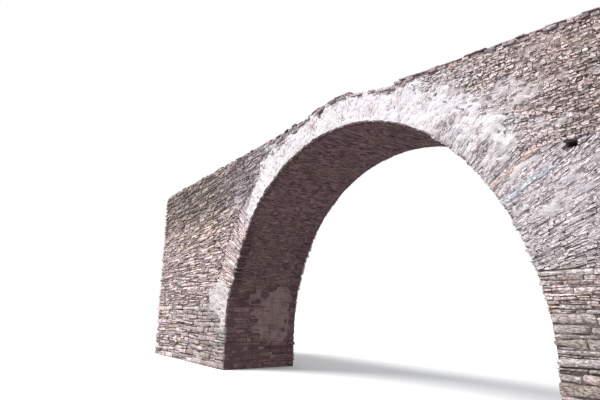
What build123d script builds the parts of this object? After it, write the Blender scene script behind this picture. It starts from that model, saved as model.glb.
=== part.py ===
from build123d import *
from math import cos, radians, sin
import os

os.makedirs("parts", exist_ok=True)

# Driving dimensions in millimetres. X runs along the road and Y across it, from the near
# face to the far one. Z is up from the ground, and the arch's middle is at X = 0.

# The round arch: its radius, how high its centre stands and how wide the bridge is.
half_span = 5500
centre_height = 1200
width = 2800
end_reach = 12100

# Abutments: solid coursed blocks under the arch's feet, closed by one long thin course.
abutment_depth = 1800
springing_rise = 1400
springing_course = 90

# Both faces are walls of their own, with the arch's ring showing at their lower edge.
face_depth = 450
ring_at_crown = 650
ring_at_springing = 1050

# The vault between the two rings, cut by radial joints at these angles from the upright.
vault_depth = 500
crown_angle = 15
shoulder_angle = 45

# The road line is the copings' top: a hump over the arch with a ramp on each side.
crown_cover = 1020
crown_x = 275
left_knee = 2200
left_fall = 360
left_slope = 0.03
right_knee = 2475
right_fall = 520
right_slope = 0.104
crown_rounding = 3000
knee_rounding = 6000

# Copings of thin slabs lie on both walls. Over the crown they are thicker, and on the near
# side the ones from there to the right-hand stretch are missing.
coping_thickness = 120
crown_coping_thickness = 200
coping_overhang = 50
coping_break_left = 1600
coping_break_right = 2365
near_crown_end = 825

# The road's stone paving lies between the walls, a little lower than the copings.
paving_drop = 80
paving_thickness = 180
paving_break = 2500

# Square sockets left by the building scaffold, measured from the arch's foot and centre.
putlog_width = 160
putlog_height = 100
putlog_depth = 300
putlog_reach = {"left": 1220, "right": 540}
putlog_rise = {"left": 3200, "right": 3450}

# Sizes that follow from those above.
core_width = width - 2 * face_depth
abutment_top = centre_height + springing_rise
arch_bed = abutment_top + springing_course
abutment_end = half_span + abutment_depth
ring_radius = half_span + ring_at_springing
ring_centre = centre_height - ring_at_springing + ring_at_crown
vault_radius = half_span + vault_depth
road_top = centre_height + half_span + crown_cover
paving_bed = paving_drop + paving_thickness

# The faces by the way they look along -Y, and the sides by the way they lie along X.
faces = {"near": 1, "far": -1}
sides = {"left": -1, "right": 1}


def finish(piece, name):
    """Label a finished piece and write it to its own file."""
    piece.part.label = name
    export_step(piece.part, f"parts/{name}.step")


def face_plane(out):
    """Plane of one face of the bridge, looking along the road's side."""
    return Plane.XZ.offset(out * width / 2)


def disc(radius, height, mode=Mode.ADD):
    """Round of the arch in a sketch of the elevation."""
    with Locations((0, height)):
        Circle(radius, mode=mode)


def block(x_from, x_to, z_from, z_to, mode=Mode.ADD):
    """Upright rectangle of the elevation between two places along the road."""
    with Locations(((x_from + x_to) / 2, (z_from + z_to) / 2)):
        Rectangle(abs(x_to - x_from), z_to - z_from, mode=mode)


def keep(x_from, x_to, z_from=0):
    """Keep what a sketch has between two places along the road, above a height."""
    block(x_from, x_to, z_from, 2 * road_top, mode=Mode.INTERSECT)


def below_road(drop, mode=Mode.ADD):
    """All of the elevation that lies a given depth or more below the road line."""
    crown = road_top - drop
    left = crown - left_fall
    right = crown - right_fall
    left_end = left - left_slope * (end_reach - left_knee)
    right_end = right - right_slope * (end_reach - right_knee)
    with BuildLine(mode=Mode.PRIVATE) as outline:
        top = FilletPolyline(
            (-end_reach, left_end),
            (-left_knee, left),
            (crown_x, crown),
            (right_knee, right),
            (end_reach, right_end),
            radius=[knee_rounding, crown_rounding, knee_rounding],
        )
        Polyline(top @ 1, (end_reach, 0), (-end_reach, 0), top @ 0)
    make_face(outline.edges(), mode=mode)


def road_band(top, bottom, x_from, x_to):
    """Layer that follows the road line between two depths and two places."""
    below_road(top)
    below_road(bottom, mode=Mode.SUBTRACT)
    keep(x_from, x_to)


# Abutments stand on the ground, and the arch's curve starts on their inner faces.
for side, along in sides.items():
    with BuildPart() as abutment:
        with BuildSketch(face_plane(1)):
            block(0, along * abutment_end, 0, abutment_top)
            block(0, along * half_span, 0, centre_height, mode=Mode.SUBTRACT)
            disc(half_span, centre_height, mode=Mode.SUBTRACT)
        extrude(amount=-width)
    finish(abutment, f"abutment_{side}")

    with BuildPart() as springing:
        with BuildSketch(face_plane(1)):
            block(0, along * abutment_end, abutment_top, arch_bed)
            disc(half_span, centre_height, mode=Mode.SUBTRACT)
        extrude(amount=-width)
    finish(springing, f"springing_course_{side}")


def vault_part(start, end):
    """Elevation of the vault between two angles from the upright, above its level bed."""
    reach = 2 * vault_radius
    rays = [(reach * sin(radians(a)), centre_height + reach * cos(radians(a))) for a in (start, end)]
    disc(vault_radius, centre_height)
    disc(half_span, centre_height, mode=Mode.SUBTRACT)
    with BuildLine(mode=Mode.PRIVATE) as outline:
        Polyline((0, centre_height), *rays, close=True)
    make_face(outline.edges(), mode=Mode.INTERSECT)
    keep(-vault_radius, vault_radius, arch_bed)


# The vault is a barrel of thin stones between the two rings, from one bed to the other.
vault_angles = {"crown": (-crown_angle, crown_angle)}
for side, along in sides.items():
    vault_angles[f"shoulder_{side}"] = (along * crown_angle, along * shoulder_angle)
    vault_angles[f"haunch_{side}"] = (along * shoulder_angle, along * 90)
for place, (start, end) in vault_angles.items():
    with BuildPart() as vault:
        with BuildSketch(Plane.XZ):
            vault_part(start, end)
        extrude(amount=core_width / 2, both=True)
    finish(vault, f"vault_{place}")

# Each face has a ring of radial slabs that is deepest at its feet, a spandrel wall over it
# as far as the abutment reaches, and an approach wall from there to the bridge's end.
for face, out in faces.items():
    for side, along in sides.items():
        with BuildPart() as ring:
            with BuildSketch(face_plane(out)):
                disc(ring_radius, ring_centre)
                disc(half_span, centre_height, mode=Mode.SUBTRACT)
                keep(0, along * ring_radius, arch_bed)
            extrude(amount=-out * face_depth)
        finish(ring, f"ring_{face}_{side}")

        with BuildPart() as spandrel:
            with BuildSketch(face_plane(out)):
                below_road(coping_thickness)
                disc(ring_radius, ring_centre, mode=Mode.SUBTRACT)
                keep(0, along * abutment_end, arch_bed)
            extrude(amount=-out * face_depth)
            with BuildSketch(face_plane(out)):
                with Locations((along * (half_span + putlog_reach[side]), centre_height + putlog_rise[side])):
                    Rectangle(putlog_width, putlog_height)
            extrude(amount=-out * putlog_depth, mode=Mode.SUBTRACT)
        finish(spandrel, f"spandrel_{face}_{side}")

        with BuildPart() as approach:
            with BuildSketch(face_plane(out)):
                below_road(coping_thickness)
                keep(along * abutment_end, along * end_reach)
            extrude(amount=-out * face_depth)
        finish(approach, f"approach_wall_{face}_{side}")

# The core is rubble and earth: on the ground behind the abutments, and over the vault.
for side, along in sides.items():
    with BuildPart() as core:
        with BuildSketch(Plane.XZ):
            below_road(paving_bed)
            block(0, along * abutment_end, 0, arch_bed, mode=Mode.SUBTRACT)
            disc(vault_radius, centre_height, mode=Mode.SUBTRACT)
            keep(0, along * end_reach)
        extrude(amount=core_width / 2, both=True)
    finish(core, f"core_{side}")

# The paving follows the road line between the walls, in three stretches.
paving_stretches = {
    "left": (-end_reach, -paving_break),
    "crown": (-paving_break, paving_break),
    "right": (paving_break, end_reach),
}
for place, (start, end) in paving_stretches.items():
    with BuildPart() as paving:
        with BuildSketch(Plane.XZ):
            road_band(paving_drop, paving_bed, start, end)
        extrude(amount=core_width / 2, both=True)
    finish(paving, f"paving_{place}")

# The copings overhang both faces a little and end flush with the walls' inner sides.
crown_top = coping_thickness - crown_coping_thickness
crown_end = {"near": near_crown_end, "far": coping_break_right}
for face, out in faces.items():
    coping_stretches = {
        "left": (0, -end_reach, -coping_break_left),
        "crown": (crown_top, -coping_break_left, crown_end[face]),
        "right": (0, coping_break_right, end_reach),
    }
    for place, (top, start, end) in coping_stretches.items():
        with BuildPart() as coping:
            with BuildSketch(Plane.XZ.offset(out * (width / 2 + coping_overhang))):
                road_band(top, coping_thickness, start, end)
            extrude(amount=-out * (face_depth + coping_overhang))
        finish(coping, f"coping_{face}_{place}")
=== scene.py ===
import math

import bpy
import numpy as np
from mathutils import Matrix, Vector


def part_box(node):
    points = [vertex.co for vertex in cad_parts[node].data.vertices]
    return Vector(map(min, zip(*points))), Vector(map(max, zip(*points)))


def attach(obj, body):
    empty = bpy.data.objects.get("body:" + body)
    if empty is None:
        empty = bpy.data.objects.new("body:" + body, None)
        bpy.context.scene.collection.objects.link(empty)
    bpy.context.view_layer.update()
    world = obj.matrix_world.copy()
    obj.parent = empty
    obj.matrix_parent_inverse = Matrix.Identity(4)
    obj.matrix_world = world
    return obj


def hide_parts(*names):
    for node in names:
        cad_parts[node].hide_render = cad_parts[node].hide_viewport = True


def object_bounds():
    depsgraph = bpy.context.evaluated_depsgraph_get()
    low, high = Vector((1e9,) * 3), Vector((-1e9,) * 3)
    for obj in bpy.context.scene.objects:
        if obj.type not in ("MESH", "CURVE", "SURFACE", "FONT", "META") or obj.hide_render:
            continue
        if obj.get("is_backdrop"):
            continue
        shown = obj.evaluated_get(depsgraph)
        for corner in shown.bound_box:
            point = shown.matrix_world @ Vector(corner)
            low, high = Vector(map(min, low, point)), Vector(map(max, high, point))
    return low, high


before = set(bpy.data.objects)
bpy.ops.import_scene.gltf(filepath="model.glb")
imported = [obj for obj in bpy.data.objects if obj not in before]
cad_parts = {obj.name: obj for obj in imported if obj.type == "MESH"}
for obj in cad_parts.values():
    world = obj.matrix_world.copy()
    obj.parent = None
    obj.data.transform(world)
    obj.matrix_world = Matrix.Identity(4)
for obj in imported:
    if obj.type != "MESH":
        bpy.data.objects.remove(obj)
CAD_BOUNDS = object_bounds()

bl_info = {
    "name": "Stone Arch Bridge",
    "version": (1, 0, 0),
    "blender": (4, 5, 0),
    "location": "View3D > Sidebar > Bridge",
    "description": "Lays the stones, slabs and old lime of a humpbacked bridge on its frame",
    "category": "Object",
}

# Places that the frame gives: both faces, the ends, and the beds in the abutments.
NEAR_FACE, FAR_FACE = (corner.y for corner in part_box("abutment_left"))
HALF_WIDTH = abs(NEAR_FACE)
WALL_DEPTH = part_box("ring_near_left")[1].y - NEAR_FACE
END_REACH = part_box("core_right")[1].x
ABUTMENT_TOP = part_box("abutment_right")[1].z
ABUTMENT_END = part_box("abutment_right")[1].x
ARCH_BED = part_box("springing_course_right")[1].z
COPING_EDGE = abs(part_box("coping_near_left")[0].y)
COPING_BREAKS = (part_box("coping_near_left")[1].x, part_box("coping_near_right")[0].x)
NEAR_CROWN_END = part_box("coping_near_crown")[1].x
ROAD_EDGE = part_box("paving_left")[1].y

FACES = {"near": -1, "far": 1}
SIDES = {"left": -1, "right": 1}
FACE_PLACES = {"near": NEAR_FACE, "far": FAR_FACE}

# First seeds of the random draws, to which a face's and a side's own number are added.
SEEDS = {
    "shapes": 5, "low_courses": 11, "high_courses": 15, "walls": 17, "rows": 31, "rings": 41,
    "vault": 51, "jambs": 57, "ends": 61, "copings": 71, "paving": 81,
}


def length_of(name, description, default):
    """Property that holds a length."""
    return bpy.props.FloatProperty(
        name=name, description=description, default=default, unit="LENGTH")


def pair_of(name, description, first, second):
    """Property that holds two lengths, most often the least and the most of a size."""
    return bpy.props.FloatVectorProperty(
        name=name, description=description, default=(first, second), size=2, unit="LENGTH")


def slope_of(name, description, default):
    """Property that holds a slope."""
    return bpy.props.FloatProperty(name=name, description=description, default=default)


def angle_of(name, description, degrees):
    """Property that holds an angle."""
    return bpy.props.FloatProperty(
        name=name, description=description, default=math.radians(degrees), unit="ROTATION")


class BridgeArch(bpy.types.PropertyGroup):
    radius: length_of("Arch radius", "Radius of the round arch", 5.5)
    centre_height: length_of("Centre height", "Height of the arch's centre", 1.2)
    ring_radius: length_of("Ring radius", "Radius of the ring's outer edge", 6.55)
    ring_centre: length_of("Ring centre", "Height that the ring's outer edge is drawn from", 0.8)
    crown_height: length_of("Crown height", "Height of the road's peak before it is rounded", 7.72)
    crown_x: length_of("Crown place", "How far the peak lies to the right", 0.275)
    left_knee: length_of("Left knee", "Where the left ramp ends", 2.2)
    left_fall: length_of("Left fall", "Fall from the peak to the left knee", 0.36)
    left_slope: slope_of("Left slope", "Slope of the left ramp", 0.03)
    right_knee: length_of("Right knee", "Where the right ramp ends", 2.475)
    right_fall: length_of("Right fall", "Fall from the peak to the right knee", 0.52)
    right_slope: slope_of("Right slope", "Slope of the right ramp", 0.104)
    crown_rounding: length_of("Crown rounding", "Radius of the hump", 3.0)
    knee_rounding: length_of("Knee rounding", "Radius of both knees", 6.0)
    coping: length_of("Coping", "Thickness of the copings", 0.12)
    crown_coping: length_of("Crown coping", "Thickness of the copings over the crown", 0.2)
    paving_drop: length_of("Paving drop", "Depth of the paving under the road line", 0.08)
    putlog_reach: pair_of("Socket places", "Beyond the arch's feet, left and right", 1.22, 0.54)
    putlog_rise: pair_of("Socket heights", "Above the arch's centre, left and right", 3.2, 3.45)


class BridgeStones(bpy.types.PropertyGroup):
    ring_thickness: pair_of("Right slab thickness", "Along the arch's right edge", 0.026, 0.054)
    left_thickness: pair_of("Left slab thickness", "Along the arch's left edge", 0.045, 0.12)
    vault_thickness: pair_of("Vault course", "Height of a course of the vault", 0.032, 0.068)
    ring_length: pair_of("Ring slab length", "Outwards from the arch's edge", 0.06, 0.3)
    rubble_course: pair_of("Right course", "Height of a course of fine rubble", 0.034, 0.062)
    wall_course: pair_of("Wall course", "Height of a course of the approach walls", 0.055, 0.105)
    rubble_length: pair_of("Rubble length", "Length of a stone in the fine rubble", 0.045, 0.13)
    thin_length: pair_of("Thin length", "Length of a stone in the thin courses", 0.12, 0.45)
    wall_length: pair_of("Approach length", "Length of a stone in the approach walls", 0.2, 0.7)
    block_course: pair_of("Block course", "Height of a course of abutment blocks", 0.06, 0.19)
    block_length: pair_of("Block length", "Length of an abutment block", 0.25, 0.75)
    thin_course: pair_of("Thin course", "Height of the courses under the arch's bed", 0.04, 0.08)
    vault_length: pair_of("Vault length", "Length of a vault stone across the bridge", 0.1, 0.34)
    paving_length: pair_of("Paving length", "Length of a paving stone", 0.16, 0.38)
    joint: pair_of("Joint", "Width of a joint", 0.008, 0.02)
    thin_from: length_of("Thin courses from", "Height where the thin courses start", 2.05)
    slabs_to: length_of("Slabs up to", "Height where sloping slabs give way to rubble", 4.75)
    rubble_reach: length_of("Rubble reach", "How far from the middle fine rubble goes", 8.7)
    slab_reach: length_of("Slab reach", "Radius that the sloping slabs on the right reach", 7.5)
    rust_slab_angle: angle_of("Rusty slab", "Angle of the long rusty slab on the right", 33)
    blue_slab_angle: angle_of("Blue slab", "Angle of the long blue slab on the right", 29.1)
    marked_slab: pair_of("Marked slabs", "Length and thickness of the marked slabs", 1.04, 0.085)


def colour(name, red, green, blue):
    """Property that holds a colour."""
    return bpy.props.FloatVectorProperty(
        name=name, description=f"Colour of the {name.lower()}", default=(red, green, blue), size=3,
        subtype="COLOR", min=0.0, max=1.0)


class BridgeColours(bpy.types.PropertyGroup):
    grey: colour("Grey schist", 0.50, 0.43, 0.415)
    brown: colour("Brown schist", 0.49, 0.395, 0.345)
    pink: colour("Pink schist", 0.58, 0.475, 0.45)
    pale: colour("Pale stone", 0.70, 0.63, 0.57)
    blue: colour("Blue schist", 0.42, 0.44, 0.49)
    rust: colour("Rusty stone", 0.50, 0.33, 0.24)
    rust_slab: colour("Rusty slab", 0.71, 0.51, 0.45)
    blue_slab: colour("Blue slab", 0.61, 0.62, 0.68)
    washed: colour("Washed stone", 0.70, 0.63, 0.66)
    lime: colour("Old lime", 0.93, 0.875, 0.905)
    lime_dirt: colour("Dirt on the lime", 0.51, 0.405, 0.405)
    lime_fan: colour("Lime on the slabs", 0.74, 0.68, 0.705)
    lime_grey: colour("Lime at the left foot", 0.73, 0.66, 0.655)
    lime_wall: colour("Lime on the left wall", 0.58, 0.485, 0.52)
    joint: colour("Earth joints", 0.205, 0.157, 0.146)
    mortar: colour("Mortar", 0.60, 0.49, 0.45)
    vault: colour("Vault stone", 0.215, 0.13, 0.14)
    vault_brown: colour("Brown vault stone", 0.235, 0.165, 0.14)
    vault_pale: colour("Lime on the vault", 0.42, 0.33, 0.32)
    render: colour("Render", 0.29, 0.21, 0.2)
    earth: colour("Earth fill", 0.22, 0.17, 0.13)
    floor: colour("Floor", 0.80, 0.80, 0.80)


def arch():
    """The bridge's own sizes."""
    return bpy.context.scene.bridge_arch


def stones():
    """The stones' sizes."""
    return bpy.context.scene.bridge_stones


def colours():
    """The stones' and joints' colours."""
    return bpy.context.scene.bridge_colours


def smooth(value, low, high):
    """Rise from 0 at low to 1 at high without a corner, or fall where high is the lower one."""
    share = np.clip((np.asarray(value, float) - low) / (high - low), 0, 1)
    return share * share * (3 - 2 * share)


NOISE_KNOTS = 64


def soft_noise(x, y, cell, seed):
    """Smooth random values from 0 to 1 over a plane, with knots a cell's two sizes apart."""
    table = np.random.default_rng(seed).random((NOISE_KNOTS, NOISE_KNOTS))
    u, v = np.asarray(x, float) / cell[0], np.asarray(y, float) / cell[1]
    i, j = np.floor(u).astype(int), np.floor(v).astype(int)
    a, b = smooth(u - i, 0, 1), smooth(v - j, 0, 1)
    i, j, next_i, next_j = (knot % NOISE_KNOTS for knot in (i, j, i + 1, j + 1))
    low = table[i, j] * (1 - a) + table[next_i, j] * a
    high = table[i, next_j] * (1 - a) + table[next_i, next_j] * a
    return low * (1 - b) + high * b


def swing(x, y, cell, seed):
    """Smooth random values from -0.5 to 0.5 over a plane."""
    return soft_noise(x, y, cell, seed) - 0.5


def painted_depth_shade(depth, low, high):
    """Painted shade for what lies in a joint: a colour factor, darker the deeper it is."""
    return 0.4 + 0.6 * smooth(depth, low, high)


def rectangle(left, low, right, high):
    """Corners of a rectangle, in the order that a stone's face has them."""
    return np.array([[left, low], [right, low], [right, high], [left, high]])


def intrados(z):
    """Half the opening's width at a height."""
    size = arch()
    rise = max(z - size.centre_height, 0)
    return math.sqrt(max(size.radius**2 - rise**2, 0))


def ring_edge(z):
    """Distance from the middle to the ring's outer edge at a height."""
    size = arch()
    return math.sqrt(max(size.ring_radius**2 - (z - size.ring_centre) ** 2, 0))


def ring_depth(angle):
    """Distance from the arch's centre to the ring's outer edge at an angle from the level."""
    size = arch()
    drop = size.centre_height - size.ring_centre
    along = drop * math.sin(angle)
    return math.sqrt(size.ring_radius**2 - drop**2 + along**2) - along


def road(x):
    """Height of the road line at a place, with its peak and knees rounded."""
    size = arch()
    left, right = size.crown_height - size.left_fall, size.crown_height - size.right_fall
    left_end = left - size.left_slope * (END_REACH - size.left_knee)
    right_end = right - size.right_slope * (END_REACH - size.right_knee)
    xs = (-END_REACH, -size.left_knee, size.crown_x, size.right_knee, END_REACH)
    zs = (left_end, left, size.crown_height, right, right_end)
    x = np.asarray(x, float)
    height = np.interp(x, xs, zs)
    slopes = np.diff(zs) / np.diff(xs)
    radii = (size.knee_rounding, size.crown_rounding, size.knee_rounding)
    for knee, radius, before, after in zip(xs[1:-1], radii, slopes[:-1], slopes[1:]):
        reach = radius * abs(math.atan(after) - math.atan(before)) / 2
        t = np.clip((x - knee + reach) / (2 * reach), 0, 1)
        height = height + (after - before) * reach * np.where(t < 0.5, t, 1 - t) ** 2
    return height


# Outline of the old lime on a face, drawn in arch radii from the arch's centre.
LIME_EDGE = (
    (-0.735, 0.66), (-0.79, 0.73), (-0.775, 0.79), (-0.70, 0.84), (-0.695, 0.98), (-0.66, 1.02),
    (-0.45, 1.11), (-0.20, 1.17), (0.10, 1.18), (0.35, 1.12), (0.52, 1.06), (0.66, 1.00),
    (0.69, 0.91), (0.76, 0.90), (0.82, 0.89), (0.84, 0.82), (0.90, 0.82), (0.93, 0.75),
    (0.925, 0.685), (0.87, 0.63), (0.80, 0.635), (0.76, 0.70), (0.70, 0.77), (0.61, 0.825),
    (0.575, 0.80), (0.45, 0.80), (-0.45, 0.80), (-0.64, 0.60),
)


def lime_margin(x, z):
    """How far inside the old lime's edge a place on a face lies, in metres."""
    size = arch()
    x, z = np.asarray(x, float), np.asarray(z, float)
    place = np.stack([x, z - size.centre_height], -1)[..., None, :] / size.radius
    start = np.array(LIME_EDGE)
    along = np.roll(start, -1, axis=0) - start
    from_start = place - start
    share = np.clip((from_start * along).sum(-1) / (along**2).sum(-1), 0, 1)
    away = np.linalg.norm(from_start - share[..., None] * along, axis=-1).min(-1) * size.radius
    over = from_start[..., 1] >= 0
    under_next = np.roll(from_start, -1, axis=-2)[..., 1] < 0
    turned = along[:, 0] * from_start[..., 1] - along[:, 1] * from_start[..., 0]
    up = over & under_next & (turned < 0)
    down = ~over & ~under_next & (turned > 0)
    inside = (up.sum(-1) + down.sum(-1)) % 2 == 1
    ragged = 0.55 * swing(x, z, (0.42, 0.36), 13) + 0.4 * swing(x, z, (0.15, 0.13), 14)
    return np.where(inside, away, -away) + ragged


def foot_patch(x, z):
    """Share of a face that the grey lime at the left foot covers, from 0 to 1."""
    body = np.hypot((x + 6.15) / 0.85, (z - 2.35) / 0.65)
    tail = np.hypot((x + 5.6) / 0.32, (z - 1.8) / 0.8)
    ragged = 0.8 * swing(x, z, (0.3, 0.14), 26)
    return smooth(np.minimum(body, tail) + ragged, 1.25, 0.65)


def lime_cover(x, z):
    """Share of a face that the old lime covers, from 0 to 1."""
    return smooth(lime_margin(x, z), -0.1, 0.2)


def read_points(mesh):
    """Places of a mesh's points."""
    points = np.zeros(len(mesh.vertices) * 3)
    mesh.vertices.foreach_get("co", points)
    return points.reshape(-1, 3)


# How deep a rough stone's edges are cut, as a share of its size, and the inner part they leave.
STONE_BEVEL = 0.15
STONE_INNER = 0.35


def model_shape(kind, seed):
    """Model one rough stone as a unit block that looks up; return its corners and faces."""
    bpy.ops.object.select_all(action="DESELECT")
    bpy.ops.mesh.primitive_cube_add(size=1)
    stone = bpy.context.object
    bpy.context.tool_settings.mesh_select_mode = (False, True, False)

    def along(axis):
        """Select the edges that run along one axis."""
        bpy.ops.object.mode_set(mode="EDIT")
        bpy.ops.mesh.select_all(action="DESELECT")
        bpy.ops.object.mode_set(mode="OBJECT")
        for edge in stone.data.edges:
            first, last = (stone.data.vertices[i].co for i in edge.vertices)
            edge.select = abs((last - first)[axis]) > 0.9
        bpy.ops.object.mode_set(mode="EDIT")

    if kind == "slab":
        along(0)
        bpy.ops.mesh.subdivide(number_cuts=3)
        bpy.ops.mesh.select_all(action="DESELECT")
        bpy.ops.mesh.edges_select_sharp(sharpness=0.5)
    elif kind == "block":
        bpy.ops.object.mode_set(mode="EDIT")
        bpy.ops.mesh.select_all(action="SELECT")
    else:
        along(2)
    if kind != "splinter":
        bpy.ops.mesh.bevel(offset=STONE_BEVEL, segments=1, affect="EDGES")
    bpy.ops.mesh.select_all(action="DESELECT")
    bpy.ops.object.mode_set(mode="OBJECT")
    bpy.context.tool_settings.mesh_select_mode = (False, False, True)
    for face in stone.data.polygons:
        face.select = face.normal.z > 0.99
    bpy.ops.object.mode_set(mode="EDIT")
    dome, roughness = (0.08, 0.09) if kind in ("chip", "splinter") else (0.05, 0.055)
    bpy.ops.mesh.poke(offset=dome)
    bpy.ops.mesh.select_all(action="SELECT")
    bpy.ops.transform.vertex_random(offset=roughness, seed=seed)
    bpy.ops.object.mode_set(mode="OBJECT")
    points = read_points(stone.data)
    faces = [tuple(face.vertices) for face in stone.data.polygons]
    bpy.data.objects.remove(stone)
    return points, faces


SHAPES = {}
SHAPES_EACH = 10


def shapes(kind):
    """Rough stones of one kind, modelled at their first use."""
    if kind not in SHAPES:
        made = [model_shape(kind, SEEDS["shapes"] + number) for number in range(SHAPES_EACH)]
        SHAPES[kind] = np.array([points for points, faces in made]), made[0][1]
    return SHAPES[kind]


MOST_LEAN = 0.014               # how far a stone's face leans at most
STONE_LEVEL = 1.03              # level of all stones' colours
STONE_SMOOTH_ANGLE = math.radians(38)
COAT_SMOOTH_ANGLE = math.radians(50)


class Pile:
    """Stones that are laid one by one and then joined into one piece."""

    def __init__(self, seed):
        self.rng = np.random.default_rng(seed)
        self.laid = {}

    def between(self, pair):
        """Random value between the two of a pair."""
        return self.rng.uniform(pair[0], pair[1])

    def lay(self, corners, out, proud, sunk, tint, shape="block", chamfer=0.014, wave=0.0):
        """Lay one stone with its face's four corners, the way it looks and how it sits."""
        stone = (corners, out, (proud, sunk, chamfer, wave), tint)
        self.laid.setdefault(shape, []).append(stone)

    def shape_stones(self, kind, stones_laid):
        """Corners, grain and colours of all stones of one kind, and the faces of each."""
        rng = self.rng
        models, faces = shapes(kind)
        corners, out, sizes, tints = (np.array(part, float) for part in zip(*stones_laid))
        across, up = corners[:, 1] - corners[:, 0], corners[:, 3] - corners[:, 0]
        turned = np.einsum("ij,ij->i", np.cross(across, up), out) < 0
        corners[turned] = corners[turned][:, [1, 0, 3, 2]]
        length = np.linalg.norm(corners[:, 1] - corners[:, 0], axis=1)[:, None]
        height = np.linalg.norm(corners[:, 3] - corners[:, 0], axis=1)[:, None]
        proud, sunk, chamfer, wave = (column[:, None] for column in sizes.T)
        count = len(corners)
        unit = models[rng.integers(len(models), size=count)]

        def spread(value, size):
            """Keep a chamfer at its own size while the block between is stretched."""
            share = np.clip(chamfer / size, 0, 0.3)
            reach = np.abs(value)
            inner = reach / STONE_INNER * (0.5 - share)
            outer = 0.5 - share + (reach - STONE_INNER) / STONE_BEVEL * share
            return 0.5 + np.sign(value) * np.where(reach <= STONE_INNER, inner, outer)

        s, t = spread(unit[..., 0], length), spread(unit[..., 1], height)
        d = spread(unit[..., 2], proud + sunk)
        phase = rng.uniform(0, 6.28, (3, count, 1))
        pace = rng.uniform(4, 9, (3, count, 1)) * length
        bend = np.sin(pace[0] * s + phase[0]) * (0.6 + 0.4 * np.sin(pace[1] * t + phase[1]))
        t = t + wave / height * bend
        lean = rng.normal(0, 1, (2, count, 1))
        top = proud + lean[0] * (s - 0.5) * np.minimum(0.07 * length, MOST_LEAN)
        top = top + lean[1] * (t - 0.5) * np.minimum(0.2 * height, MOST_LEAN)
        top = np.maximum(top + wave * np.sin(pace[2] * s + phase[2]), 0.004 - sunk)
        depth = d * (top + sunk) - sunk
        c, s, t = corners[:, :, None, :], s[..., None], t[..., None]
        face = (c[:, 0] * (1 - s) + c[:, 1] * s) * (1 - t) + (c[:, 3] * (1 - s) + c[:, 2] * s) * t
        points = face + out[:, None, :] * depth[..., None]
        grain = np.stack([s[..., 0] * length, t[..., 0] * height, depth], 2)
        grain = grain + rng.uniform(0, 9, (count, 1, 3))
        # Each point's colour is darkened by its depth in the joint: painted shade.
        shade = STONE_LEVEL * painted_depth_shade(depth, -0.012, 0.01)
        lime = smooth(lime_margin(points[..., 0], points[..., 2]), -1.3, 0.5)[..., None]
        paint = np.concatenate([tints[:, None, :] * shade[..., None], lime], 2)
        loops = np.concatenate([np.array(face) for face in faces])
        loops = (loops[None, :] + np.arange(count)[:, None] * unit.shape[1]).ravel()
        totals = np.tile([len(face) for face in faces], count)
        return points.reshape(-1, 3), grain.reshape(-1, 3), paint.reshape(-1, 4), loops, totals

    def build(self, name):
        """Join all that was laid into one mesh, with each stone's colour and grain on it."""
        parts = [self.shape_stones(kind, stones_laid) for kind, stones_laid in self.laid.items()]
        starts = np.cumsum([0] + [len(part[0]) for part in parts[:-1]])
        points, grain, paint = (np.concatenate([part[i] for part in parts]) for i in range(3))
        loops = np.concatenate([part[3] + start for part, start in zip(parts, starts)])
        totals = np.concatenate([part[4] for part in parts])
        mesh = bpy.data.meshes.new(name)
        mesh.vertices.add(len(points))
        mesh.vertices.foreach_set("co", points.ravel())
        mesh.loops.add(len(loops))
        mesh.loops.foreach_set("vertex_index", loops)
        mesh.polygons.add(len(totals))
        mesh.polygons.foreach_set("loop_start", np.concatenate([[0], np.cumsum(totals)[:-1]]))
        mesh.polygons.foreach_set("loop_total", totals)
        mesh.update(calc_edges=True)
        mesh.validate()
        paint_mesh(mesh, paint)
        grain_layer = mesh.attributes.new("stone_grain", "FLOAT_VECTOR", "POINT")
        grain_layer.data.foreach_set("vector", grain.astype(np.float32).ravel())
        piece = bpy.data.objects.new(name, mesh)
        bpy.context.scene.collection.objects.link(piece)
        bpy.ops.object.select_all(action="DESELECT")
        piece.select_set(True)
        bpy.context.view_layer.objects.active = piece
        bpy.ops.object.shade_smooth_by_angle(angle=STONE_SMOOTH_ANGLE)
        return piece


def paint_mesh(mesh, paint):
    """Write each point's colour and its share of lime on a mesh."""
    layer = mesh.attributes.new("stone_colour", "FLOAT_COLOR", "POINT")
    layer.data.foreach_set("color", paint.astype(np.float32).ravel())


def finish_piece(piece, material):
    """Give a piece its material and let it ride on the bridge."""
    piece.data.materials.append(material)
    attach(piece, "root")
    return piece


DARKEST, LIGHTEST = 0.55, 1.35


def mixed_tint(rng, shares, wash=0.0, spread=0.16):
    """Colour of one stone, drawn from named colours by their shares and washed with lime."""
    names = list(shares)
    weights = np.array([shares[name] for name in names], float)
    name = names[rng.choice(len(names), p=weights / weights.sum())]
    tint = np.array(getattr(colours(), name)) * np.clip(rng.normal(1, spread), DARKEST, LIGHTEST)
    tint = tint * (1 + rng.normal(0, 0.02, 3))
    return tint * (1 - wash) + np.array(colours().washed) * wash


# Shares of the stones' colours in each kind of masonry.
RUBBLE = {"grey": 4, "brown": 3, "pink": 4, "pale": 0.8, "blue": 0.06, "rust": 0.05}
SLABS = {"grey": 6, "brown": 1.5, "pink": 3.5, "pale": 0.3, "blue": 0.08, "rust": 0.04}
BLOCKS = {"grey": 7, "brown": 2.1, "pink": 2.4, "pale": 0.2}
COPINGS = {"grey": 7, "blue": 0.3, "pink": 4}
WALLS = {"grey": 5, "brown": 2, "pink": 4, "pale": 0.9, "blue": 0.02, "rust": 0.05}

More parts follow.
